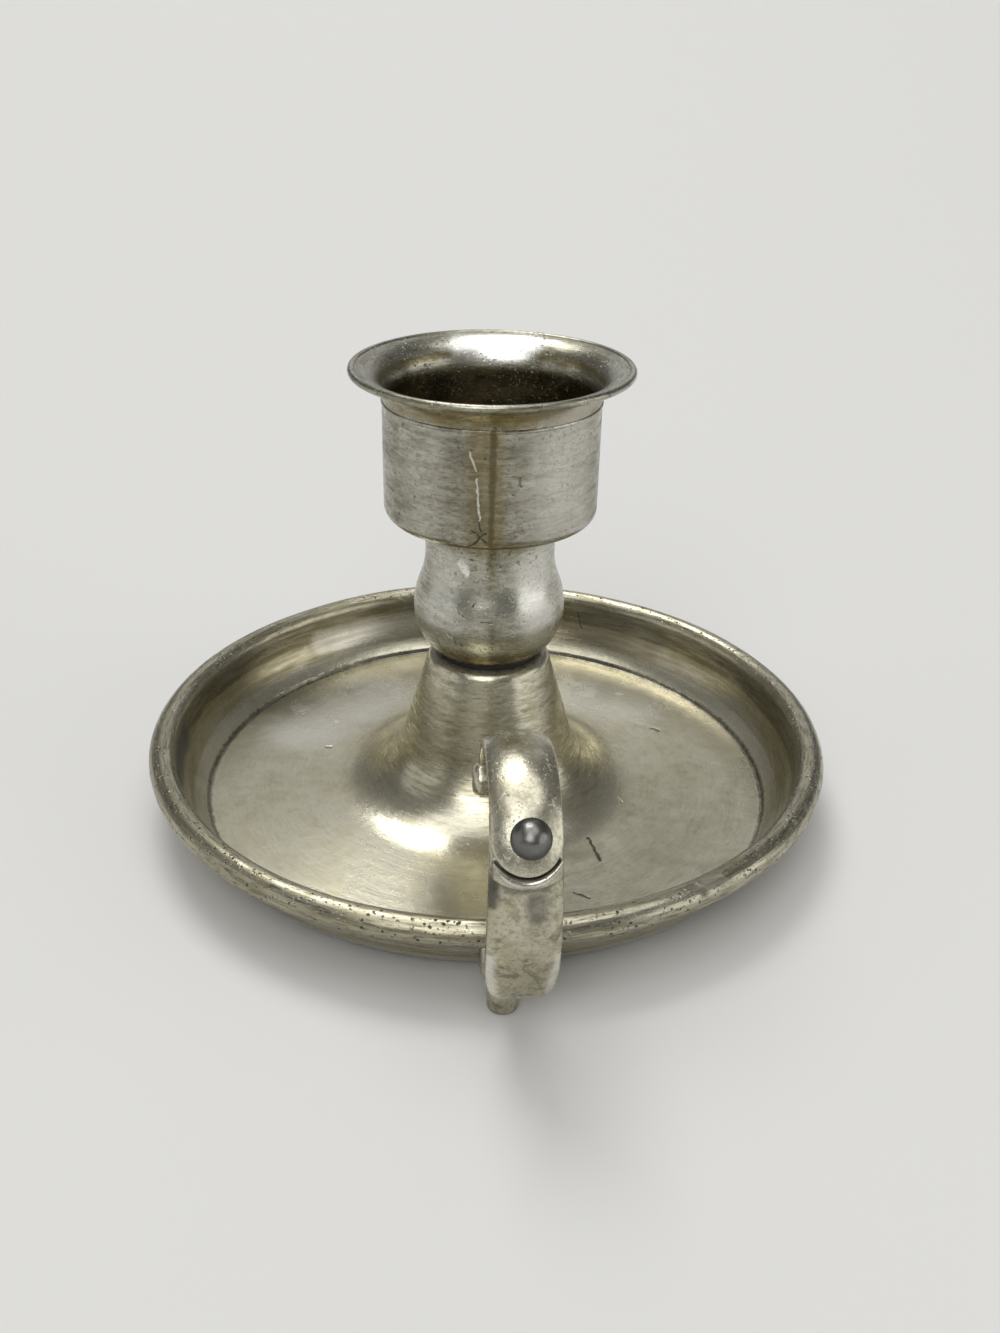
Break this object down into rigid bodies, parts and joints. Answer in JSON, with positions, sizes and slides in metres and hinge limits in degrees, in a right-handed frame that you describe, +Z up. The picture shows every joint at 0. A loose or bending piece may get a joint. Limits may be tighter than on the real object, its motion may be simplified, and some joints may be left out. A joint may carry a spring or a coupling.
{
  "type": "chamberstick",
  "caption": "Small pewter chamberstick: a candle cup on a hollow knop and a trumpet stem over a rolled-rim drip pan, with a double-scroll finger handle and a thumb knob.",
  "frame": {"origin": "on the table plane, at the axis of the stem and the candle socket", "axes": "+Z up along the stem's axis; the handle points to -Y; X runs along the finger's way through the loop"},
  "size_m": [0.08, 0.0915, 0.0522],
  "materials": {
    "pan_pewter": "aged pewter, turned, with a soft sheen and pitted tarnish",
    "knop_pewter": "aged pewter with yellow-brown tarnish at both ends",
    "cup_pewter": "aged pewter with close turning marks and a dark olive inside",
    "handle_pewter": "aged cast pewter, worn smooth",
    "black_washer": "black, slightly glossy",
    "steel": "plain turned steel"
  },
  "bodies": {
    "root": {"drip_pan": "pan_pewter", "rim_wire": "steel", "stem_spacer": "black_washer", "knop": "knop_pewter", "candle_cup": "cup_pewter", "tie_screw": "steel", "stem_washer": "steel", "tie_nut": "steel", "lower_scroll": "handle_pewter", "upper_scroll": "handle_pewter", "thumb_knob": "handle_pewter", "foot_peg": "handle_pewter"}
  },
  "joints": []
}
